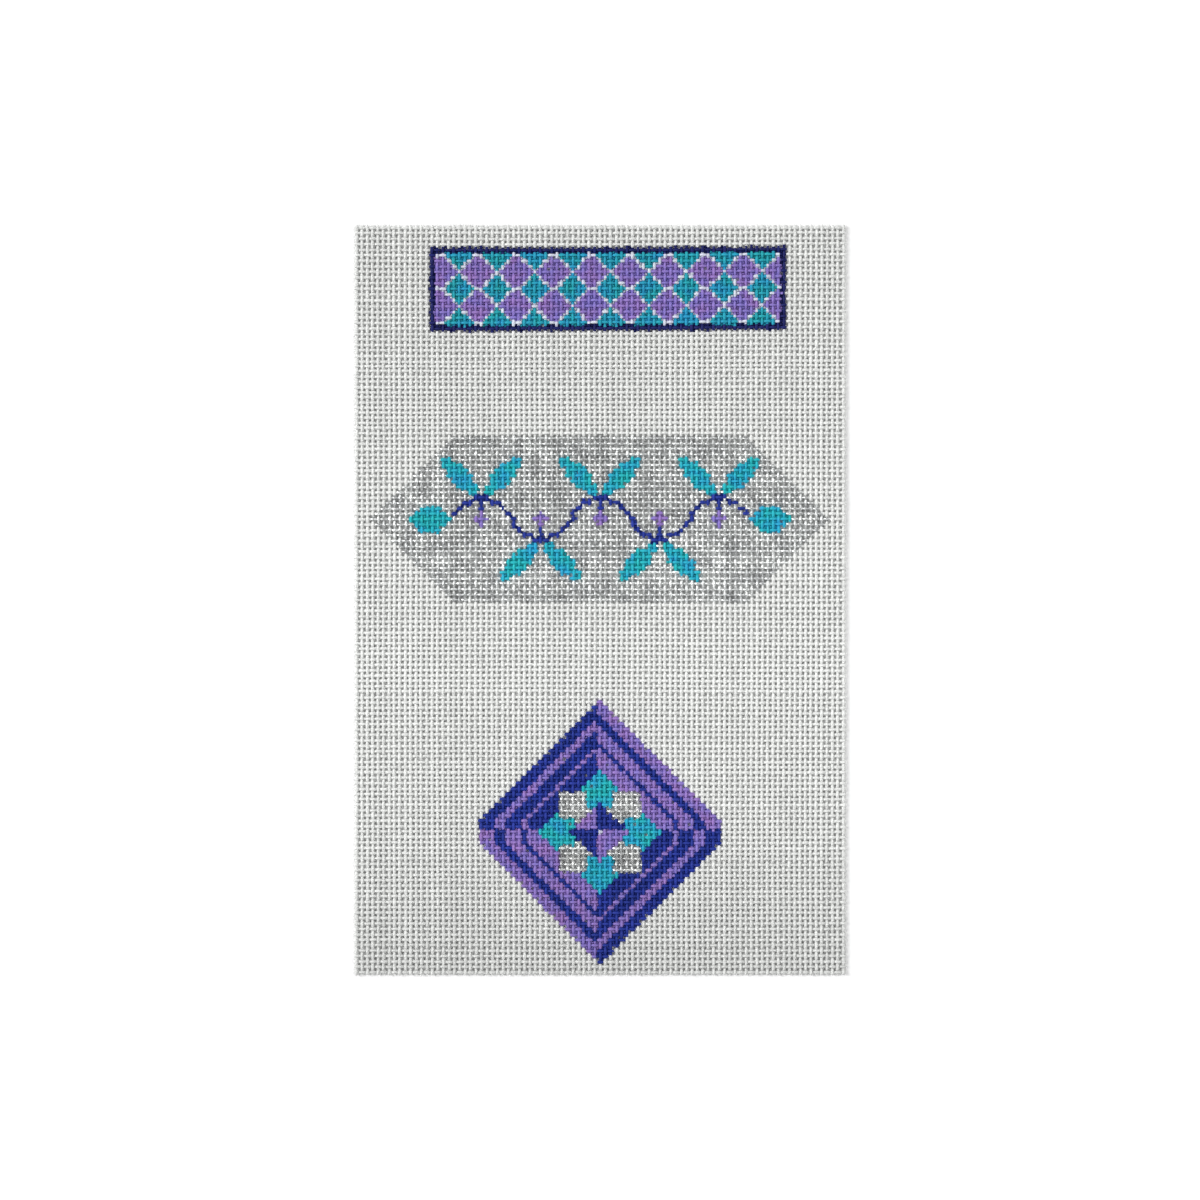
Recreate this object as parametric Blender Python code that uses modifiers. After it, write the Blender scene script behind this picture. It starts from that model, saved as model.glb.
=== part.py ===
"""Needlepoint canvas panel: one flat sheet of even-weave mono canvas, cut square.

The sheet lies on its back. +X runs to its right, +Y to its top edge, +Z out of its
painted face, and the origin is under its middle. Everything is in metres.
"""

import bpy

# Driving dimensions: the canvas is a whole number of threads each way
THREADS_PER_INCH = 18
INCH = 0.0254
WARP_THREADS = 91
WEFT_THREADS = 139
WEFT_CLOSENESS = 0.998

# Two flattened threads cross at every point, under a film of size and paint
SHEET_THICKNESS = 0.0012

# The cut threads round the sheet's rim over a little
RIM_SOFTENING = 0.0003
RIM_STEPS = 2

COLLECTION_NAME = "needlepoint_canvas_panel"
NODE_NAME = "canvas"
COTTON_COLOUR = (0.60, 0.60, 0.58, 1.0)
COTTON_ROUGHNESS = 0.85


def clear_scene():
    """Remove every object that the file opened with."""
    for old in list(bpy.data.objects):
        bpy.data.objects.remove(old, do_unlink=True)


def part_collection():
    """Make the collection that holds the panel."""
    collection = bpy.data.collections.new(COLLECTION_NAME)
    bpy.context.scene.collection.children.link(collection)
    return collection


def sized_cotton():
    """Make the off-white finish of sized cotton threads."""
    material = bpy.data.materials.new("sized_cotton_canvas")
    material.use_nodes = True
    shader = material.node_tree.nodes["Principled BSDF"]
    shader.inputs["Base Color"].default_value = COTTON_COLOUR
    shader.inputs["Roughness"].default_value = COTTON_ROUGHNESS
    shader.inputs["Metallic"].default_value = 0.0
    return material


def canvas_sheet(collection):
    """Make the sheet: as wide as its warp threads, as high as its weft threads."""
    pitch = INCH / THREADS_PER_INCH
    width = WARP_THREADS * pitch
    height = WEFT_THREADS * pitch * WEFT_CLOSENESS

    bpy.ops.mesh.primitive_cube_add(size=1.0, location=(0.0, 0.0, SHEET_THICKNESS / 2))
    sheet = bpy.context.object
    sheet.name = NODE_NAME
    sheet.data.name = NODE_NAME
    sheet.scale = (width, height, SHEET_THICKNESS)
    bpy.ops.object.transform_apply(location=False, rotation=False, scale=True)

    rim = sheet.modifiers.new("softened_rim", "BEVEL")
    rim.width = RIM_SOFTENING
    rim.segments = RIM_STEPS
    rim.limit_method = "ANGLE"

    sheet.data.materials.append(sized_cotton())
    for holder in list(sheet.users_collection):
        holder.objects.unlink(sheet)
    collection.objects.link(sheet)
    return sheet


clear_scene()
canvas_sheet(part_collection())
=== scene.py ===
# %% [markdown]
# A painted needlepoint canvas is a small sheet of very open cotton cloth. A maker paints the
# pattern on it, one colour to each crossing of two threads, and somebody else stitches over it.
# The sheet here has been cut square and lies flat on a table, seen from straight above.
# Everything is in metres: +X to the right, +Y to the top edge, +Z up out of the painted face.

# %% Load the frame and the tools
import math

import bpy
import numpy as np
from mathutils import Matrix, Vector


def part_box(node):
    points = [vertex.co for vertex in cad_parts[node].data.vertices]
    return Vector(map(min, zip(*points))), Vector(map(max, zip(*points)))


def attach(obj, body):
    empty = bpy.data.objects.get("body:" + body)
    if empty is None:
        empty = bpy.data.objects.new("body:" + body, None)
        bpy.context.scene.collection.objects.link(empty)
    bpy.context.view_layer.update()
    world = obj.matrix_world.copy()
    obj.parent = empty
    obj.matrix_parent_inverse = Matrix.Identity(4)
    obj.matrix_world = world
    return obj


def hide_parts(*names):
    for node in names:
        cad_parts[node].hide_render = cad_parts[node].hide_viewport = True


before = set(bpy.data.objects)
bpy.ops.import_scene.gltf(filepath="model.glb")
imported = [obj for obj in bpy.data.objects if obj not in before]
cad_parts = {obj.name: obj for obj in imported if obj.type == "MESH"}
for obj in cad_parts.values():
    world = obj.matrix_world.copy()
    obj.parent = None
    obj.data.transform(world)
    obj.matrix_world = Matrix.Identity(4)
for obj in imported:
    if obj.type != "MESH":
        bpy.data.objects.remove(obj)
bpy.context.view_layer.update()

# %% [markdown]
# The cloth is counted, not measured: 91 warp threads run up it and 139 weft threads run across.
# The solid in the frame is exactly that many thread spaces wide and high, so the spacing comes
# from its box. At 18 threads to the inch a space is about 1.41 mm.

# %% Count the threads
WARPS = 91
WEFTS = 139
SEED = 1891

sheet_low, sheet_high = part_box("canvas")
WIDTH = sheet_high[0] - sheet_low[0]
HEIGHT = sheet_high[1] - sheet_low[1]
THICKNESS = sheet_high[2] - sheet_low[2]
WARP_SPACE = WIDTH / WARPS
WEFT_SPACE = HEIGHT / WEFTS
rng = np.random.default_rng(SEED)
print("thread space in mm:", round(1000 * WARP_SPACE, 3), "by", round(1000 * WEFT_SPACE, 3))

# %% [markdown]
# The pattern is a chart with one cell for each crossing, as on squared paper. Each cell holds the
# number of a paint, and 0 is bare cotton. Row 0 is the top row, and column 0 the left one.
# The motifs are worked out by rules, so a motif is moved by changing a row or a column.

# %% Start the chart
PAINTS = range(8)
COTTON, NAVY, TEAL, PURPLE, WHITE, SILVER, OUTLINE, DEEP_TEAL = PAINTS
MIDDLE = WARPS // 2
chart = np.full((WEFTS, WARPS), COTTON)


def stitch(row, column, paint):
    """Paint one crossing, if it is on the sheet."""
    if 0 <= row < WEFTS and 0 <= column < WARPS:
        chart[row, column] = paint


# %% [markdown]
# The top band is a harlequin lattice, a repeat that has been stitched for centuries. White lines
# run up and down the diagonals, one crossing at a time, and part purple lozenges from teal ones.
# The repeat is seven crossings wide and six tall, so each purple lozenge ends in a tip that is
# two crossings wide. Both counts are folded, like a paper pattern: "down" and "aside" tell how far
# a crossing is from the nearest tips. Where they are the same it lies on a white line, where it is
# less far aside it lies in a purple lozenge, and otherwise in a teal one.

# %% Paint the lozenge band
BAND_TOP, BAND_LEFT = 4, 14
REPEAT_WIDE, REPEAT_TALL = 7, 6
REPEATS_ACROSS, REPEATS_DOWN = 9, 2
BAND_COLUMNS = REPEATS_ACROSS * REPEAT_WIDE + 1
BAND_ROWS = REPEATS_DOWN * REPEAT_TALL + 1

chart[BAND_TOP : BAND_TOP + BAND_ROWS + 2, BAND_LEFT : BAND_LEFT + BAND_COLUMNS + 2] = OUTLINE
for row in range(BAND_ROWS):
    down = min(row % REPEAT_TALL, -row % REPEAT_TALL)
    for column in range(BAND_COLUMNS):
        aside = min((column - 1) % REPEAT_WIDE, -column % REPEAT_WIDE)
        paint = PURPLE if aside < down else DEEP_TEAL
        if aside == down:
            paint = WHITE
        stitch(BAND_TOP + 1 + row, BAND_LEFT + 1 + column, paint)
print("band:", BAND_COLUMNS + 2, "by", BAND_ROWS + 2, "crossings")

# %% [markdown]
# The middle motif is a plain leafy vine on a silver ground with mitred ends. A brush would lay
# the ground first and the vine over it, and the chart is filled in the same order.

# %% Paint the silver ground
GROUND_ROW = 54
GROUND_REACH = 42
GROUND_HALF = 15

for row in range(GROUND_ROW - GROUND_HALF, GROUND_ROW + GROUND_HALF + 1):
    reach = GROUND_REACH - abs(row - GROUND_ROW)
    chart[row, MIDDLE - reach : MIDDLE + reach + 1] = SILVER
print("silver crossings:", int((chart == SILVER).sum()))

# %% [markdown]
# The stem swings up and down as a cosine, which gives an even curve and tells where its bends
# are. Rounded to whole rows it would jump, so each column also fills the rows since the last.

# %% Paint the stem
STEM_SWING = 4
BEND_SPACE = 11
STEM_REACH = 27


def stem_height(across):
    """Rows from the ground's middle up to the stem, so many columns across from the middle."""
    return round(STEM_SWING * math.cos(math.pi * across / BEND_SPACE))


before = stem_height(-STEM_REACH)
for across in range(-STEM_REACH, STEM_REACH + 1):
    height = stem_height(across)
    for level in range(min(height, before + 1), max(height, before - 1) + 1):
        stitch(GROUND_ROW - level, MIDDLE + across, NAVY)
    before = height
print("stem crossings:", int((chart == NAVY).sum()))

# %% [markdown]
# A leaf is the space between two arcs that meet in a point at its foot and at its tip. Each bend
# carries a pair of them on its outer side and a berry on its inner side, and a bud ends the stem.

# %% Paint the leaves, berries and buds
BENDS = range(-2, 3)
LEAF = 6
LEAF_ROUNDING = 0.2
STALK = (1, 2)
BERRY = 4
BERRY_CELLS = ((0, 0), (1, 0), (-1, 0), (0, 1), (0, -1))
BUD_LENGTH = 8
BUD_HALF = 2.4
BUD_FULLNESS = 0.8


def leaf(row, column, rise, run, paint):
    """Paint a leaf from its foot. Rise is 1 up or -1 down, and run is 1 right or -1 left."""
    radius = LEAF + LEAF_ROUNDING
    for up in range(LEAF + 1):
        for out in range(LEAF + 1):
            if math.hypot(LEAF - out, up) <= radius and math.hypot(out, LEAF - up) <= radius:
                stitch(row - rise * up, column + run * out, paint)


for bend in BENDS:
    column = MIDDLE + bend * BEND_SPACE
    height = stem_height(bend * BEND_SPACE)
    outward = 1 if height > 0 else -1
    for run in (1, -1):
        leaf(GROUND_ROW - height - outward, column + run, outward, run, TEAL)
    for step in STALK:
        stitch(GROUND_ROW - height + step * outward, column, NAVY)
    for up, aside in BERRY_CELLS:
        stitch(GROUND_ROW - height + BERRY * outward + up, column + aside, PURPLE)

for out in range(BUD_LENGTH):
    roundness = math.sin(math.pi * (out + 0.5) / BUD_LENGTH) ** BUD_FULLNESS
    half = math.floor(BUD_HALF * roundness)
    for run in (1, -1):
        for up in range(-half, half + 1):
            stitch(GROUND_ROW - up, MIDDLE + run * (STEM_REACH + 1 + out), TEAL)
print("leaf and bud crossings:", int((chart == TEAL).sum()))

# %% [markdown]
# The lower motif is a lozenge quartered in two colours, with the pinstripes of each quarter in
# the other colour. An eight-pointed patchwork star lies on its middle: a square and a diamond
# laid over each other, with the parts that lean to the corners in silver. Both are traditional.

# %% Paint the quartered lozenge and its star
LOZENGE_ROW = 112
LOZENGE_REACH = 22
LOZENGE_STRETCH = 2
PINSTRIPES = (14, 18, 19)
STAR_SQUARE, STAR_DIAMOND, STAR_HEART = 7, 11, 5
CORNER_LEAN, CORNER_SPREAD = 45, 22.5

for up in range(-LOZENGE_REACH - LOZENGE_STRETCH, LOZENGE_REACH + LOZENGE_STRETCH + 1):
    for right in range(-LOZENGE_REACH, LOZENGE_REACH + 1):
        out = abs(right) + max(0, abs(up) - LOZENGE_STRETCH)
        if out > LOZENGE_REACH:
            continue
        navy_quarter = (right < 0) == (up > 0)
        paint = NAVY if navy_quarter != (out in PINSTRIPES) else PURPLE
        from_middle = abs(right) + abs(up)
        if max(abs(right), abs(up)) <= STAR_SQUARE or from_middle <= STAR_DIAMOND:
            lean = math.degrees(math.atan2(abs(up), abs(right)))
            paint = SILVER if abs(lean - CORNER_LEAN) <= CORNER_SPREAD else TEAL
        if from_middle <= STAR_HEART:
            paint = PURPLE if navy_quarter else NAVY
        if from_middle == 0:
            paint = WHITE
        stitch(LOZENGE_ROW - up, MIDDLE + right, paint)
print("paints used:", {paint: int((chart == paint).sum()) for paint in PAINTS})

# %% [markdown]
# No loom weaves a perfect grid. The threads creep a little sideways while the cloth is handled,
# so the grain wanders by about a tenth of a millimetre between cut edges that stay straight. Two
# long sine waves each way are enough for that. The weft lies a little looser in the top band and
# closer below it, so the band is a shade taller than its count, and it climbs slightly at its
# right end.

# %% Let the grain wander
WANDER = 0.00008
EDGE_FADE = 0.006
LEFT_RIGHT_WAVES = (
    {"size": 1.0, "x_length": 0.310, "y_length": 0.113, "start": 0.15},
    {"size": 0.5, "x_length": 0.047, "y_length": -0.171, "start": 0.40},
)
UP_DOWN_WAVES = (
    {"size": 1.0, "x_length": 0.139, "y_length": -0.260, "start": 0.30},
    {"size": 0.5, "x_length": 0.190, "y_length": 0.053, "start": 0.70},
)
LOOSE_WEFT = 0.0010
LOOSE_ROW = 22
LOOSE_PLACE = HEIGHT / 2 - LOOSE_ROW * WEFT_SPACE
LOOSE_REACH = 0.017
BAND_CLIMB = 0.00026
BAND_CENTRE = HEIGHT / 2 - (BAND_TOP + 1 + BAND_ROWS / 2) * WEFT_SPACE
BAND_END = (BAND_LEFT + BAND_COLUMNS + 2) * WARP_SPACE - WIDTH / 2
CLIMB_START, CLIMB_LENGTH = 0.016, 0.034
CLIMB_REACH = 0.028


def ease(part):
    """0 up to 0 and 1 from 1 on, with a smooth step between."""
    inside = np.clip(part, 0, 1)
    return inside * inside * (3 - 2 * inside)


def hill(place, middle, reach):
    """1 at the middle, fading to 0 a few reaches away."""
    return np.exp(-(((place - middle) / reach) ** 2))


def ripple(waves, x, y):
    """The sum of a few sine waves at x, y."""
    total = 0
    for wave in waves:
        turns = x / wave["x_length"] + y / wave["y_length"] + wave["start"]
        total = total + wave["size"] * np.sin(2 * np.pi * turns)
    return total


def wander(x, y):
    """How far the weave has crept from a true grid at x, y."""
    climb = ease((x - CLIMB_START) / CLIMB_LENGTH) * hill(y, BAND_CENTRE, CLIMB_REACH)
    aside = WANDER * ripple(LEFT_RIGHT_WAVES, x, y)
    along = WANDER * ripple(UP_DOWN_WAVES, x, y) + BAND_CLIMB * climb
    along = along - LOOSE_WEFT * hill(y, LOOSE_PLACE, LOOSE_REACH)
    free_x = ease((WIDTH / 2 - np.abs(x)) / EDGE_FADE)
    free_y = ease((HEIGHT / 2 - np.abs(y)) / EDGE_FADE)
    return aside * free_x, along * free_y


print("crept at the band's right end, in mm:", round(1000 * wander(BAND_END, BAND_CENTRE)[1], 2))

# %% [markdown]
# A thread is a soft cotton cord. It goes over one crossing thread and under the next and is
# pressed flat where they meet. Each one is modelled as a closed six-sided tube with three short
# steps to each crossing. That is enough for a round look, and it keeps each piece under 200,000
# triangles. The crest is how far the thread swings above and below the middle of the cloth.

# %% Size the thread
THREAD_WIDTH = 0.00076
THREAD_HEIGHT = 0.00056
CREST = 0.00025
TABLE_GAP = 0.00001
SIDES = 6
STEPS = 3
MID_LEVEL = sheet_low[2] + TABLE_GAP + CREST + THREAD_HEIGHT / 2
print("woven cloth in mm:", round(1000 * (2 * CREST + THREAD_HEIGHT), 2), "thick")

# %% [markdown]
# It is never quite even. Along each thread the width and the place vary in soft bumps, each
# thread as a whole is a little thicker or thinner and nearer one neighbour than the other, and
# the scissors leave each end a hair short. Without this the cloth looks like a wire gauze.

# %% Make it uneven
UNEVEN_WIDTH, WIDTH_BUMP = 0.05, 0.006
UNEVEN_PLACE, PLACE_BUMP = 0.00003, 0.009
UNEVEN_THREAD = 0.04
UNEVEN_SPACE = 0.00006
UNEVEN_CUT = 0.00016
PINCHED, PRESSED = 0.95, 0.07
FEWEST_KNOTS, SPARE_KNOTS = 4, 3
SHORT_OF_LAST = 1.001


def uneven(count, places, spacing, reach):
    """Rows of smooth random values about 0, whose bumps are about reach apart."""
    knots = max(FEWEST_KNOTS, round(places * spacing / reach) + SPARE_KNOTS)
    values = rng.standard_normal((count, knots))
    at = np.linspace(0, knots - SHORT_OF_LAST, places)
    low = at.astype(int)
    part = (1 - np.cos(np.pi * (at - low))) / 2
    return values[:, low] * (1 - part) + values[:, low + 1] * part


# %% [markdown]
# One function makes the warp and the weft. It works out the middle line of every thread of a
# group at once, as arrays: how far along, how far aside and how high. The crests of the warp
# fall on the hollows of the weft, because the sign flips from each thread to its neighbour.

# %% Work out the middle lines
def middle_lines(first, count, upright):
    """The middle lines of count threads, with their half widths and half heights, ring by ring."""
    lanes, space = (WARPS, WARP_SPACE) if upright else (WEFTS, WEFT_SPACE)
    crossings, cross_space = (WEFTS, WEFT_SPACE) if upright else (WARPS, WARP_SPACE)
    rings = crossings * STEPS + 1
    ring_space = cross_space / STEPS
    number = np.arange(first, first + count)[:, None]

    along = np.repeat(((np.arange(rings) - (rings - 1) / 2) * ring_space)[None, :], count, axis=0)
    along[:, 0] += UNEVEN_CUT * rng.random(count)
    along[:, -1] -= UNEVEN_CUT * rng.random(count)
    aside = (number + 0.5 - lanes / 2) * space
    aside = aside + UNEVEN_PLACE * uneven(count, rings, ring_space, PLACE_BUMP)
    aside = aside + UNEVEN_SPACE * rng.standard_normal((count, 1))
    x, y = (aside, along) if upright else (along, aside)
    shift_x, shift_y = wander(x, y)

    swing = np.sin(np.pi * np.arange(rings) / STEPS)[None, :] / math.sin(math.pi / STEPS)
    swing = swing * np.where(number % 2, -1, 1) * (1 if upright else -1)
    thick = 1 + UNEVEN_WIDTH * uneven(count, rings, ring_space, WIDTH_BUMP)
    thick = thick + UNEVEN_THREAD * rng.standard_normal((count, 1))
    flatness = PINCHED + PRESSED * np.abs(swing)
    lines = np.stack([x + shift_x, y + shift_y, MID_LEVEL + CREST * swing], axis=2)
    return lines, THREAD_WIDTH / 2 * thick * flatness, THREAD_HEIGHT / 2 * thick / flatness


# %% [markdown]
# A ring of points goes round the middle line at each step, square to the way the thread climbs.
# Rings are joined by quads, and the cut ends are closed, so that every thread is a solid body.

# %% Put rings round the lines and join them
RING_TURNS = 2 * np.pi * np.arange(SIDES) / SIDES


def ring_points(lines, half_width, half_height, upright):
    """The points of every ring, as an array of thread, ring, side and coordinate."""
    along, aside = (1, 0) if upright else (0, 1)
    slope = np.gradient(lines[:, :, 2], axis=1) / np.gradient(lines[:, :, along], axis=1)
    lean = np.arctan(slope)[:, :, None]
    up = half_height[:, :, None] * np.sin(RING_TURNS)
    points = np.repeat(lines[:, :, None, :], SIDES, axis=2)
    points[..., aside] += half_width[:, :, None] * np.cos(RING_TURNS)
    points[..., along] -= up * np.sin(lean)
    points[..., 2] += up * np.cos(lean)
    return points


def tube_faces(count, rings, upright):
    """The quads of all the tubes, then the first caps, then the last caps, facing outwards."""
    thread, ring, side = np.indices((count, rings - 1, SIDES))
    start = (thread * rings + ring) * SIDES
    after = (side + 1) % SIDES
    quads = np.stack([start + side, start + after, start + SIDES + after, start + SIDES + side], axis=3)
    first_caps = np.arange(count)[:, None] * rings * SIDES + np.arange(SIDES)
    last_caps = first_caps + (rings - 1) * SIDES
    if upright:
        return quads[..., ::-1].reshape(-1, 4), first_caps, last_caps[:, ::-1]
    return quads.reshape(-1, 4), first_caps[:, ::-1], last_caps


# %% [markdown]
# Each tube carries two maps. "thread" says how far along and how far round a face lies, for the
# twist in the material. "OFBake" lays every thread in a row of its own, so that an exported model
# gets clean strips of colour: a long thread is folded into two rows, and its two caps go beyond
# the end of the first.

# %% Lay out the maps
STRIP_END = 0.95
STRIP_FILL = 0.86
CAP_PLACES = (0.965, 0.985)
CAP_WIDTH, CAP_FILL = 0.006, 0.3


def add_map(mesh, name, places):
    """Add a map with one place for each corner of each face."""
    layer = mesh.uv_layers.new(name=name)
    layer.data.foreach_set("uv", places.reshape(-1).astype(np.float32))


def add_thread_maps(mesh, count, rings, rows_each, upright):
    """Give a mesh of tubes its map along the thread and its strips for baking."""
    thread, ring, side = np.indices((count, rings - 1, SIDES))
    steps = np.array([[0, 0], [0, 1], [1, 1], [1, 0]])
    if upright:
        steps = steps[::-1]
    at_ring = ring[..., None] + steps[:, 0]
    at_side = side[..., None] + steps[:, 1]

    rows = count * rows_each
    strip = math.ceil((rings - 1) / rows_each)
    row = thread * rows_each + ring // strip
    bake_u = STRIP_END * (at_ring - (ring // strip * strip)[..., None]) / strip
    bake_v = (row[..., None] + (1 - STRIP_FILL) / 2 + STRIP_FILL * at_side / SIDES) / rows

    cap = np.stack([CAP_WIDTH * np.cos(RING_TURNS), CAP_FILL / rows * np.sin(RING_TURNS)], axis=1)
    lanes = (np.arange(count) * rows_each + 0.5) / rows
    caps = [cap + np.array([place, lane]) for place in CAP_PLACES for lane in lanes]
    for name, u, v in (("thread", at_ring / STEPS, at_side / SIDES), ("OFBake", bake_u, bake_v)):
        body = np.stack([u, v], axis=4).reshape(-1, 2)
        add_map(mesh, name, np.concatenate([body, *caps]))


# %% [markdown]
# Each crossing and each thread takes the paint with a tone of its own, lighter or darker. On top of that
# the whole cloth carries painted light and shade, standing in for light that falls on it unevenly: it is
# a shade lighter below its middle and darker towards its top and, more, its bottom edge. Five places
# down the sheet say by how much.

# %% Give each crossing a tone, with painted light and shade down the sheet
CELL_TONE, THREAD_TONE = 0.6, 0.8
# Painted light and shade: lighter below the middle, darker at the top and most at the bottom edge.
PAINTED_SHADE_PLACES = (0.0, 0.3, 0.6, 0.8, 1.0)
PAINTED_SHADE_TONES = (-1.2, 0.4, 1.5, 0.0, -3.8)

rows_down = np.arange(WEFTS) / (WEFTS - 1)
cell_tones = CELL_TONE * rng.standard_normal((WEFTS, WARPS))
# Add the painted light and shade of each row to the random tones.
cell_tones += np.interp(rows_down, PAINTED_SHADE_PLACES, PAINTED_SHADE_TONES)[:, None]
warp_tones = THREAD_TONE * rng.standard_normal(WARPS)
weft_tones = THREAD_TONE * rng.standard_normal(WEFTS)
print("tones from", round(cell_tones.min(), 1), "to", round(cell_tones.max(), 1))

# %% [markdown]
# A brush never stops exactly between two crossings, so the place where one paint gives way to the
# next wavers by one short step. A white line is drawn with the tip of a fine brush after the
# rest, and it often loses a step to its neighbours on either side.

# %% Take the paint from the chart
WAVER = 0.08
WHITE_NARROWING = 0.55


def along_threads(grid, first, count, upright):
    """Cells of a grid along each of count threads, counted from the bottom and the left."""
    by_thread = grid[::-1].T if upright else grid[::-1]
    return by_thread[first : first + count]


def paint_of_rings(first, count, rings, upright):
    """The paint and the tone of every short step of every thread."""
    crossings = (rings - 1) // STEPS
    ring = np.arange(rings - 1)
    edge = np.round((ring + 0.5) / STEPS).astype(int)
    cells = along_threads(chart, first, count, upright)
    waver = rng.choice([-1, 0, 1], size=(count, crossings + 1), p=[WAVER, 1 - 2 * WAVER, WAVER])
    into_white = np.diff(np.pad(cells == WHITE, ((0, 0), (1, 1))).astype(int), axis=1)
    narrowed = (into_white != 0) & (rng.random(waver.shape) < WHITE_NARROWING)
    waver = np.where(narrowed, into_white, waver)
    crossing = np.clip(edge - (ring < STEPS * edge + waver[:, edge]), 0, crossings - 1)
    paint = np.take_along_axis(cells, crossing, axis=1)
    tone = np.take_along_axis(along_threads(cell_tones, first, count, upright), crossing, axis=1)
    own = warp_tones[first : first + count] if upright else weft_tones[::-1][first : first + count]
    return paint, tone + own[:, None]


# %% [markdown]
# With all of that, weaving is short. The face attribute "tone" and the point attribute "upness",
# 1 on top of a thread and -1 under it, carry what the material has to know.

# %% Turn a group of threads into a mesh
def set_facts(mesh, paint, tone, smooth, upness):
    """Store the paint, tone and shading of the faces, and how far each point faces up."""
    mesh.polygons.foreach_set("material_index", paint.astype(np.int32))
    mesh.polygons.foreach_set("use_smooth", smooth)
    mesh.attributes.new("tone", "FLOAT", "FACE").data.foreach_set("value", tone.astype(np.float32))
    mesh.attributes.new("upness", "FLOAT", "POINT").data.foreach_set("value", upness.astype(np.float32))
    mesh.update()


def weave(name, first, count, upright, rows_each):
    """Make one mesh of count threads, from the first one on."""
    lines, half_width, half_height = middle_lines(first, count, upright)
    rings = half_width.shape[1]
    points = ring_points(lines, half_width, half_height, upright)
    quads, first_caps, last_caps = tube_faces(count, rings, upright)

    mesh = bpy.data.meshes.new(name)
    faces = quads.tolist() + first_caps.tolist() + last_caps.tolist()
    mesh.from_pydata(points.reshape(-1, 3).tolist(), [], faces)
    add_thread_maps(mesh, count, rings, rows_each, upright)

    paint, tone = paint_of_rings(first, count, rings, upright)
    with_caps = [
        np.concatenate([np.repeat(fact, SIDES, axis=1).reshape(-1), fact[:, 0], fact[:, -1]])
        for fact in (paint, tone)
    ]
    smooth = np.arange(len(faces)) < len(quads)
    set_facts(mesh, *with_caps, smooth, np.tile(np.sin(RING_TURNS), count * rings))
    return mesh


# %% [markdown]
# The whole weave is about 456,000 small faces, so it is split into six pieces by the way the
# threads run: three of warp and three of weft. They lie in each other's hollows as real threads
# do, and each piece keeps the size of the cloth that it covers.

# %% Weave the sheet
GROUPS = {
    "warp": (WARPS, WARP_SPACE, HEIGHT, ("left", "middle", "right")),
    "weft": (WEFTS, WEFT_SPACE, WIDTH, ("low", "middle", "top")),
}
LONGEST_STRIP = WARPS * STEPS

threads = []
for kind, (total, space, length, parts) in GROUPS.items():
    marks = [round(total * part / len(parts)) for part in range(len(parts) + 1)]
    rows_each = math.ceil(round(length / WARP_SPACE) * STEPS / LONGEST_STRIP)
    for part, low, high in zip(parts, marks, marks[1:]):
        mesh = weave(f"{kind}_{part}", low, high - low, kind == "warp", rows_each)
        flat = ((high - low) * space, length) if kind == "warp" else (length, (high - low) * space)
        threads.append((mesh, flat))
        print(mesh.name, high - low, "threads,", len(mesh.polygons), "faces")
print("faces in all:", sum(len(mesh.polygons) for mesh, flat in threads))

# %% [markdown]
# Where a brush has gone over several crossings in one colour, some paint dries across the holes
# between them, as a thin web that sags in its middle. The more painted crossings a hole has round
# it, the likelier a web is. The silver is a thin wash that flows off before it can bridge a hole.

# %% Find the webbed holes
WEB_CHANCE = np.array([0.0, 0.0, 0.1, 0.6, 0.985])
DIAGONAL_CHANCE = 0.8


def round_holes(grid):
    """The four cells round each hole, clockwise from the top left."""
    return np.stack([grid[:-1, :-1], grid[:-1, 1:], grid[1:, 1:], grid[1:, :-1]], axis=2)


corners = round_holes(chart)
thick_paint = (corners != COTTON) & (corners != SILVER)
painted_corners = thick_paint.sum(axis=2)
chance = WEB_CHANCE[painted_corners]
print("holes with thick paint all round:", int((painted_corners == 4).sum()))

# %% [markdown]
# A line that steps diagonally is painted last and in one stroke, so its paint runs across the
# holes between its steps and keeps the line whole. Where two paints each meet corner to corner
# at a hole, the line is the one with fewer cells of its own paint around it. Any other web takes
# the paint of one of its four crossings, picked at random.

# %% Let the lines run across their holes
padded = np.pad(chart, 1, constant_values=COTTON)
crowd = np.zeros(chart.shape, int)
for row in range(3):
    for column in range(3):
        crowd += padded[row : row + WEFTS, column : column + WARPS] == chart
crowd = round_holes(crowd)

bridge = np.full(chance.shape, COTTON)
least = np.full(chance.shape, np.inf)
for one, other in ((0, 2), (1, 3)):
    joined = (corners[..., one] == corners[..., other]) & thick_paint[..., one]
    chance[joined & (painted_corners == 2)] = DIAGONAL_CHANCE
    near = crowd[..., one] + crowd[..., other]
    better = joined & (near < least)
    bridge = np.where(better, corners[..., one], bridge)
    least = np.where(better, near, least)
webbed = rng.random(chance.shape) < chance
pick = np.argmax((thick_paint & (corners != WHITE)) * rng.random(corners.shape), axis=2)
picked = np.take_along_axis(corners, pick[..., None], axis=2)[..., 0]
web_paint = np.where(bridge == COTTON, picked, bridge)[webbed]
hole_row, hole_column = np.nonzero(webbed)
print("webbed holes:", len(web_paint))

# %% [markdown]
# A web is a small lens: a ring of eight points that lies inside the four threads round the hole,
# a sagging top and a flatter underside. All of them are made as one mesh from arrays.

# %% Bridge the holes with paint
WEB_LAP = 0.0001
WEB_HALF = (WARP_SPACE - THREAD_WIDTH) / 2 + WEB_LAP
WEB_RING_LEVEL, WEB_TOP_LEVEL, WEB_UNDER_LEVEL = -0.00004, -0.00010, -0.00016
WEB_CORNER = 0.92
WEB_SIDES = 8

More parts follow.
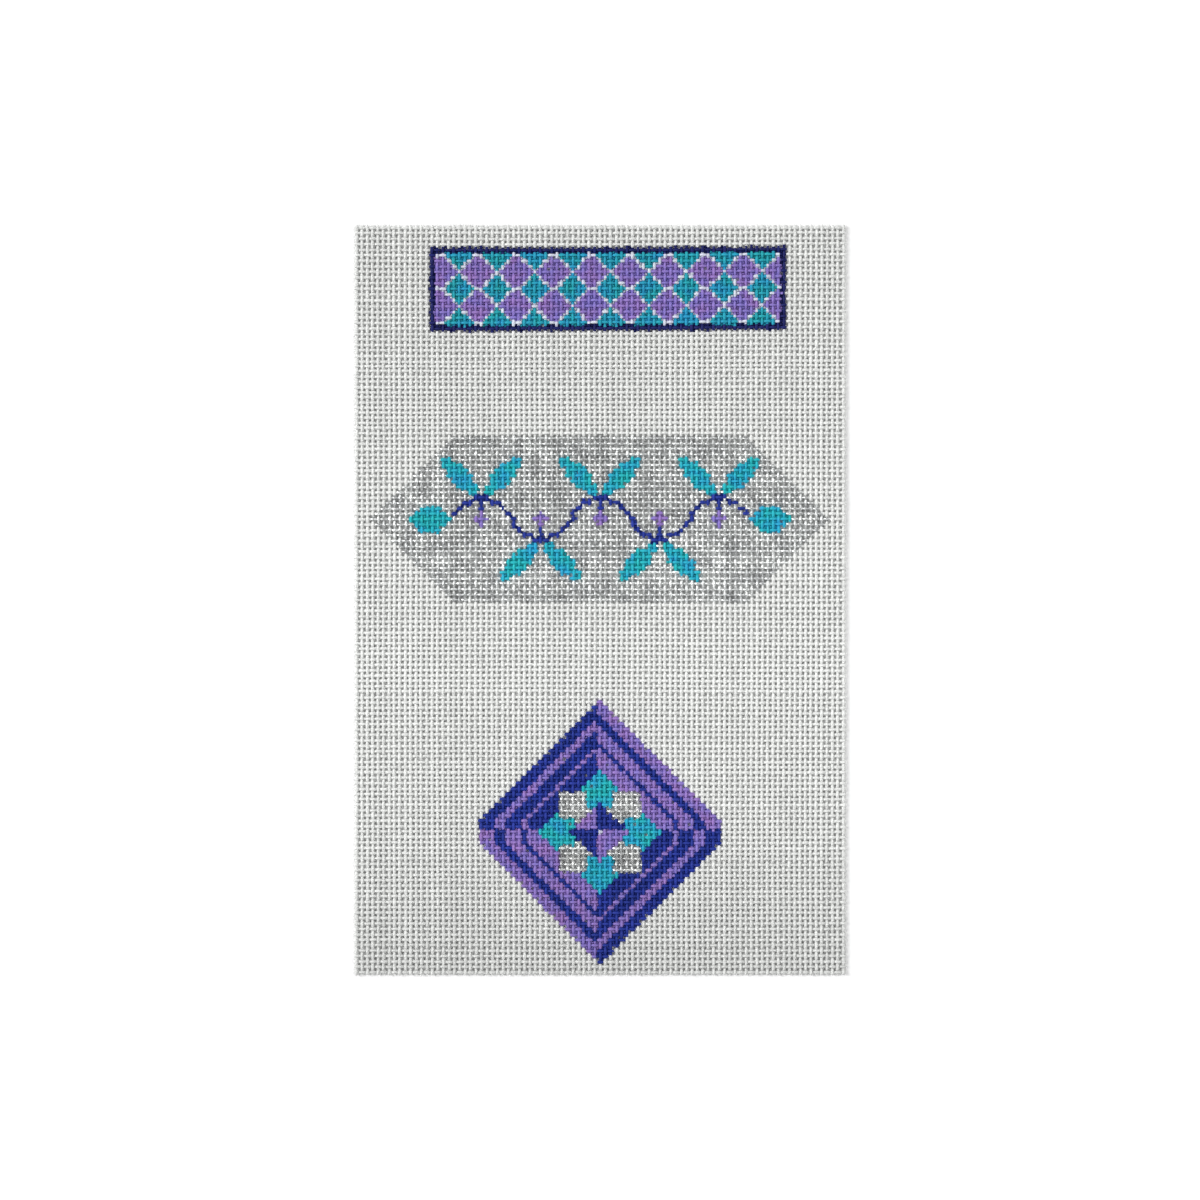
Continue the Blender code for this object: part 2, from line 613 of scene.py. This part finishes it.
hole_x = (hole_column + 1) * WARP_SPACE - WIDTH / 2
hole_y = HEIGHT / 2 - (hole_row + 1) * WEFT_SPACE
shift_x, shift_y = wander(hole_x, hole_y)
ring = [(1, 0), (WEB_CORNER, WEB_CORNER), (0, 1), (-WEB_CORNER, WEB_CORNER)]
ring += [(-x, -y) for x, y in ring]
shape = [(WEB_HALF * x, WEB_HALF * y, WEB_RING_LEVEL) for x, y in ring]
shape += [(0, 0, WEB_TOP_LEVEL), (0, 0, WEB_UNDER_LEVEL)]
centres = np.stack([hole_x + shift_x, hole_y + shift_y, np.full(len(hole_x), MID_LEVEL)], axis=1)
web_points = centres[:, None, :] + np.array(shape)[None, :, :]

side = np.arange(WEB_SIDES)
after = (side + 1) % WEB_SIDES
top_point = np.full(WEB_SIDES, WEB_SIDES)
tops = np.stack([side, after, top_point], axis=1)
unders = np.stack([after, side, top_point + 1], axis=1)
one_web = np.concatenate([tops, unders])
web_faces = (np.arange(len(web_paint))[:, None, None] * len(shape) + one_web).reshape(-1, 3)

webs = bpy.data.meshes.new("paint_webs")
webs.from_pydata(web_points.reshape(-1, 3).tolist(), [], web_faces.tolist())
print(webs.name, len(webs.polygons), "faces")

# %% [markdown]
# For baking, each web has a square of its own, with its top in the left half and its underside
# in the right half. Its "thread" map is one random spot, so a web shows no twist, only a shade.

# %% Map the webs
TOP_PLACE, UNDER_PLACE = 0.26, 0.74
WEB_MAP_WIDTH, WEB_MAP_HEIGHT = 0.2, 0.4
SPOTS_ACROSS = 40
WEB_TONE = 0.8
RING_UPNESS = 0.6

per_row = math.ceil(math.sqrt(len(web_paint)))
cell = np.stack(np.divmod(np.arange(len(web_paint)), per_row), axis=1)[:, None, None, :]
flat_web = np.array([*ring, (0, 0), (0, 0)])[one_web]
half_place = np.where(np.arange(len(one_web)) < WEB_SIDES, TOP_PLACE, UNDER_PLACE)[:, None]
in_cell = np.stack(
    [half_place + WEB_MAP_WIDTH * flat_web[..., 0], 0.5 + WEB_MAP_HEIGHT * flat_web[..., 1]], axis=2
)
spots = SPOTS_ACROSS * rng.random((len(web_paint), 1, 1, 2)) + np.zeros((1, len(one_web), 3, 1))
add_map(webs, "thread", spots)
add_map(webs, "OFBake", (cell + in_cell[None]) / per_row)

web_tone = np.repeat(WEB_TONE * rng.standard_normal(len(web_paint)), len(one_web))
web_upness = np.tile([RING_UPNESS] * WEB_SIDES + [1.0, -1.0], len(web_paint))
web_smooth = np.ones(len(web_faces), bool)
set_facts(webs, np.repeat(web_paint, len(one_web)), web_tone, web_smooth, web_upness)
print("webs in a row of the map:", per_row)

# %% [markdown]
# Colours are written as sRGB hex values, as a paint chart gives them. Blender works in linear
# light, so one function turns them. Another adds a node, sets its values and links its inputs.

# %% Two helpers for materials
def linear(hex_colour):
    """Turn an sRGB hex value into linear red, green, blue and a full alpha."""
    parts = [int(hex_colour[i : i + 2], 16) / 255 for i in (1, 3, 5)]
    light = [p / 12.92 if p <= 0.04045 else ((p + 0.055) / 1.055) ** 2.4 for p in parts]
    return (*light, 1.0)


def add(tree, kind, inputs=None, **settings):
    """Add a node, give it its settings, and link or fill its inputs."""
    node = tree.nodes.new(kind)
    for name, value in settings.items():
        setattr(node, name, value)
    for socket, value in (inputs or {}).items():
        if isinstance(value, bpy.types.NodeSocket):
            tree.links.new(value, node.inputs[socket])
        else:
            node.inputs[socket].default_value = value
    return node


# %% [markdown]
# The canvas is sized cotton, spun from three plies. A ply comes to the top every 0.8 of a thread
# space, about 1.1 mm, and both the plies and the finer fibres follow the "thread" map. A step of
# tone changes the colour by a few hundredths.

# %% Describe the bare thread
MM = 1000.0
COTTON_COLOUR = linear("#EEEFED")
COTTON_SHADE = linear("#D8D9D7")
PLIES = 3
TWISTS_PER_SPACE = 1.25
FIBRES_ROUND = 9.0
FIBRE_SCALE, FIBRE_ROUGHNESS = 4.0, 0.6
NOISE_DETAIL = 3.0
TONE_REACH = 6.0


def spin(tree):
    """Add the plies and the fibres of a spun thread, and give back the sockets of both."""
    place = add(tree, "ShaderNodeUVMap", uv_map="thread")
    split = add(tree, "ShaderNodeSeparateXYZ", {0: place.outputs[0]})
    turns = add(tree, "ShaderNodeMath", {0: split.outputs[0], 1: TWISTS_PER_SPACE}, operation="MULTIPLY")
    helix = add(
        tree,
        "ShaderNodeMath",
        {0: split.outputs[1], 1: float(PLIES), 2: turns.outputs[0]},
        operation="MULTIPLY_ADD",
    )
    wave = add(tree, "ShaderNodeMath", {0: helix.outputs[0], 1: 2 * math.pi}, operation="MULTIPLY")
    plies = add(tree, "ShaderNodeMath", {0: wave.outputs[0]}, operation="SINE")
    stretched = add(
        tree, "ShaderNodeMapping", {"Vector": place.outputs[0], "Scale": (1.0, FIBRES_ROUND, 1.0)}
    )
    fibres = add(
        tree,
        "ShaderNodeTexNoise",
        {
            "Vector": stretched.outputs[0],
            "Scale": FIBRE_SCALE,
            "Detail": NOISE_DETAIL,
            "Roughness": FIBRE_ROUGHNESS,
        },
    )
    return plies.outputs[0], fibres.outputs[0]


# %% [markdown]
# Acrylic craft paint dries to a thin skin that fills the twist a little, shines softly, and is
# deeper in colour where the brush was wet. Patches about 4 mm across are the marks of the brush.
# One coat soaks only part of the way through, so the back of a painted thread is paler, and a few
# fibres stand out of it bare. A second coat soaks further.

# %% Describe the paint on it
BRUSH_MARK_MM, BRUSH_ROUGHNESS = 4.0, 0.55
DRY, WET = 0.38, 0.66
BARE_FIBRE = 0.8
BACK_LEVEL, FRONT_LEVEL = -0.55, 0.35
ONE_COAT, TWO_COATS = 0.42, 0.80


def brush_on(tree, cotton, fibres, paint, tint, depth, cover, soak=ONE_COAT):
    """Lay a paint over the cotton. Cover is what it hides in front, and soak its share behind."""
    here = add(tree, "ShaderNodeTexCoord")
    patches = add(
        tree,
        "ShaderNodeTexNoise",
        {
            "Vector": here.outputs["Object"],
            "Scale": MM / BRUSH_MARK_MM,
            "Detail": NOISE_DETAIL,
            "Roughness": BRUSH_ROUGHNESS,
        },
    )
    wet = add(tree, "ShaderNodeMapRange", {0: patches.outputs[0], 1: DRY, 2: WET, 3: 0.0, 4: depth})
    colour = add(
        tree,
        "ShaderNodeMix",
        {0: wet.outputs[0], 6: linear(paint), 7: linear(tint)},
        data_type="RGBA",
    )
    upness = add(tree, "ShaderNodeAttribute", attribute_name="upness")
    level = add(
        tree,
        "ShaderNodeMath",
        {0: fibres, 1: BARE_FIBRE, 2: upness.outputs["Fac"]},
        operation="MULTIPLY_ADD",
    )
    hidden = add(
        tree,
        "ShaderNodeMapRange",
        {0: level.outputs[0], 1: BACK_LEVEL, 2: FRONT_LEVEL, 3: soak * cover, 4: cover},
    )
    painted = add(
        tree,
        "ShaderNodeMix",
        {0: hidden.outputs[0], 6: cotton, 7: colour.outputs[2]},
        data_type="RGBA",
    )
    return painted.outputs[2]


# %% [markdown]
# Every finish is the same spun thread, with or without a paint, so one function builds them all.
# Cotton and acrylic both have the usual IOR of 1.5. Their rough fibres scatter most of the gloss,
# and a low specular level stands for that.

# %% Build a finish
SPECULAR = 0.2
PLY_SHARE = 0.5


def thread_finish(name, roughness, bump_mm=0.03, metallic=0.0, uneven=0.035, **paint):
    """Make the material of a thread. Uneven is how much one step of tone changes its colour."""
    material = bpy.data.materials.new(name)
    material.use_nodes = True
    tree = material.node_tree
    shader = tree.nodes["Principled BSDF"]

    plies, fibres = spin(tree)
    cotton = add(
        tree, "ShaderNodeMix", {0: fibres, 6: COTTON_SHADE, 7: COTTON_COLOUR}, data_type="RGBA"
    )
    colour = cotton.outputs[2]
    if paint:
        colour = brush_on(tree, colour, fibres, **paint)
    # The tone holds the random tones and the painted light and shade down the sheet.
    tone = add(tree, "ShaderNodeAttribute", attribute_name="tone")
    least, most = 1 - TONE_REACH * uneven, 1 + TONE_REACH * uneven
    level = add(
        tree,
        "ShaderNodeMapRange",
        {0: tone.outputs["Fac"], 1: -TONE_REACH, 2: TONE_REACH, 3: least, 4: most},
    )
    toned = add(tree, "ShaderNodeVectorMath", {0: colour, 3: level.outputs[0]}, operation="SCALE")
    tree.links.new(toned.outputs[0], shader.inputs["Base Color"])

    ridge = add(tree, "ShaderNodeMath", {0: plies, 1: PLY_SHARE, 2: fibres}, operation="MULTIPLY_ADD")
    bump = add(
        tree,
        "ShaderNodeBump",
        {"Strength": 1.0, "Distance": bump_mm / MM, "Height": ridge.outputs[0]},
    )
    tree.links.new(bump.outputs[0], shader.inputs["Normal"])
    shader.inputs["Roughness"].default_value = roughness
    shader.inputs["Metallic"].default_value = metallic
    shader.inputs["Specular IOR Level"].default_value = SPECULAR
    return material


# %% [markdown]
# Eight finishes, one to each number in the chart. Cotton is matt and almost white. The acrylics
# are a little smoother, which gives them a soft sheen. Teal shifts to blue and purple to mauve
# where the pigments of the mix part. The silver has flakes of aluminium in it, so it is nearly a
# metal, glints on the crests and goes dark on the flanks, and it lies less evenly than the rest.
# A second coat is deeper: navy on the border of the band, and teal on the lozenges in it.

# %% Mix the paints
finishes = [
    thread_finish("sized_cotton_thread", 0.88, bump_mm=0.05),
    thread_finish(
        "navy_acrylic_on_cotton", 0.60, paint="#102985", tint="#20369E", depth=0.8, cover=0.99
    ),
    thread_finish(
        "teal_acrylic_on_cotton", 0.58, paint="#08B0B5", tint="#1C9CD7", depth=0.7, cover=0.98
    ),
    thread_finish(
        "purple_acrylic_on_cotton", 0.58, paint="#7F70C2", tint="#A071B6", depth=0.6, cover=0.97
    ),
    thread_finish(
        "white_acrylic_on_cotton", 0.55, paint="#D4DAE6", tint="#B8B4D2", depth=0.6, cover=0.95
    ),
    thread_finish(
        "silver_acrylic_on_cotton",
        0.36,
        bump_mm=0.04,
        metallic=0.84,
        uneven=0.12,
        paint="#DEE0DF",
        tint="#A6A8AA",
        depth=0.7,
        cover=0.92,
    ),
    thread_finish(
        "navy_acrylic_second_coat",
        0.60,
        paint="#020B56",
        tint="#081464",
        depth=0.8,
        cover=0.99,
        soak=TWO_COATS,
    ),
    thread_finish(
        "teal_acrylic_second_coat",
        0.58,
        paint="#049FAA",
        tint="#1490CA",
        depth=0.7,
        cover=0.98,
        soak=TWO_COATS,
    ),
]
for material in finishes:
    print(material.name)

# %% [markdown]
# Every piece rides on the one body of the part and stands for its plain solid. Each thread piece prints
# the size of the cloth that it covers.

# %% Place the threads and the webs
floor_name = "table_top"


def place_piece(mesh):
    """Put a mesh in the scene with all the finishes, in the place of the plain sheet."""
    piece = bpy.data.objects.new(mesh.name, mesh)
    bpy.context.scene.collection.objects.link(piece)
    for material in finishes:
        mesh.materials.append(material)
    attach(piece, "root")
    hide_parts("canvas")
    return piece


place_piece(webs)
for mesh, flat in threads:
    place_piece(mesh)
    print(mesh.name, "covers", [round(1000 * side, 1) for side in flat], "mm")

# %% [markdown]
# The table is plain, pale and matt, and its painted card has only the faintest clouds in its
# white. It is large, so that low views see no edge.

# %% Lay the table top
FLOOR_SIZE = 12.0
CARD_CLOUDS, CARD_ROUGHNESS = 12.0, 0.9

bpy.ops.mesh.primitive_plane_add(size=FLOOR_SIZE, location=(0, 0, sheet_low[2]))
floor = bpy.context.object
floor.name = floor_name
matt_card = bpy.data.materials.new("matt_white_card")
matt_card.use_nodes = True
card_tree = matt_card.node_tree
card_shader = card_tree.nodes["Principled BSDF"]
card_here = add(card_tree, "ShaderNodeTexCoord")
card_grain = add(
    card_tree,
    "ShaderNodeTexNoise",
    {"Vector": card_here.outputs["Object"], "Scale": CARD_CLOUDS, "Detail": NOISE_DETAIL},
)
card_colour = add(
    card_tree,
    "ShaderNodeMix",
    {0: card_grain.outputs[0], 6: linear("#F6F6F6"), 7: linear("#FAFAFA")},
    data_type="RGBA",
)
card_tree.links.new(card_colour.outputs[2], card_shader.inputs["Base Color"])
card_shader.inputs["Roughness"].default_value = CARD_ROUGHNESS
card_shader.inputs["Specular IOR Level"].default_value = SPECULAR
floor.data.materials.append(matt_card)

# %% [markdown]
# Flat work is photographed with lamps at its sides and well down, so that no lamp shines straight
# down the holes. They stay grey against the white table, and each thread gets a lit flank and a
# shaded one. The lamps here are broad and far off, so that the table is evenly white, and such a
# lamp is a Sun with a wide angle in Blender. The key stands on the left, a little to the top.
# Each lamp has its share of the light that falls on the table.

# %% Light it from the sides
TABLE_LIGHT = 3.30
LAMP_RISE = math.radians(34)
LAMP_SPREAD = math.radians(34)
LAMPS = {
    "key_left": {"heading": 165, "share": 0.50},
    "fill_right": {"heading": 0, "share": 0.18},
    "fill_top": {"heading": 80, "share": 0.16},
    "fill_bottom": {"heading": 270, "share": 0.16},
}

for name, place in LAMPS.items():
    lamp = bpy.data.lights.new(name, "SUN")
    lamp.angle = LAMP_SPREAD
    lamp.energy = TABLE_LIGHT * place["share"] / math.sin(LAMP_RISE)
    holder = bpy.data.objects.new(name, lamp)
    bpy.context.scene.collection.objects.link(holder)
    heading = math.radians(place["heading"])
    holder.location = (math.cos(heading), math.sin(heading), math.tan(LAMP_RISE))
    holder.rotation_euler = (math.pi / 2 - LAMP_RISE, 0, heading + math.pi / 2)
    print(name, "strength", round(lamp.energy, 2))

# %% [markdown]
# The room is dim overhead, for the same reason, with pale walls. A wall is low in the sky as seen
# from the table, so it lights it very little, but it is what a low view sees behind the table.

# %% Put pale walls round it
ROOM_OVERHEAD = 0.08
ROOM_WALL = 1.0
WALL_FADES = math.sin(math.radians(4))
WALL_TOP = math.sin(math.radians(14))

room = bpy.data.worlds.new("pale_room")
room.use_nodes = True
room_tree = room.node_tree
sky_place = add(room_tree, "ShaderNodeTexCoord")
sky_parts = add(room_tree, "ShaderNodeSeparateXYZ", {0: sky_place.outputs["Generated"]})
wall_light = add(
    room_tree,
    "ShaderNodeMapRange",
    {0: sky_parts.outputs["Z"], 1: WALL_FADES, 2: WALL_TOP, 3: ROOM_WALL, 4: ROOM_OVERHEAD},
)
room_shader = room_tree.nodes["Background"]
room_shader.inputs["Color"].default_value = linear("#FAFBFC")
room_tree.links.new(wall_light.outputs[0], room_shader.inputs["Strength"])
bpy.context.scene.world = room
bpy.context.scene.view_settings.view_transform = "Standard"

# %% [markdown]
# The photo frames 1200 pixels of which the sheet takes 492 across, so the picture is that much
# wider than the sheet. A long lens a metre above keeps the sheet square, like a copy camera.

# %% Hang the camera
PICTURE_PIXELS = 1200
SHEET_PIXELS = 492
CAMERA_HEIGHT = 1.0
SENSOR_MM = 36.0
picture_width = WIDTH * PICTURE_PIXELS / SHEET_PIXELS

lens = bpy.data.cameras.new("copy_camera")
lens.sensor_width = SENSOR_MM
lens.lens = SENSOR_MM * (CAMERA_HEIGHT - THICKNESS / 2) / picture_width
camera = bpy.data.objects.new("copy_camera", lens)
bpy.context.scene.collection.objects.link(camera)
camera.location = (0, 0, CAMERA_HEIGHT)
bpy.context.scene.camera = camera
print("picture width in mm:", round(1000 * picture_width, 1), "lens:", round(lens.lens, 1))
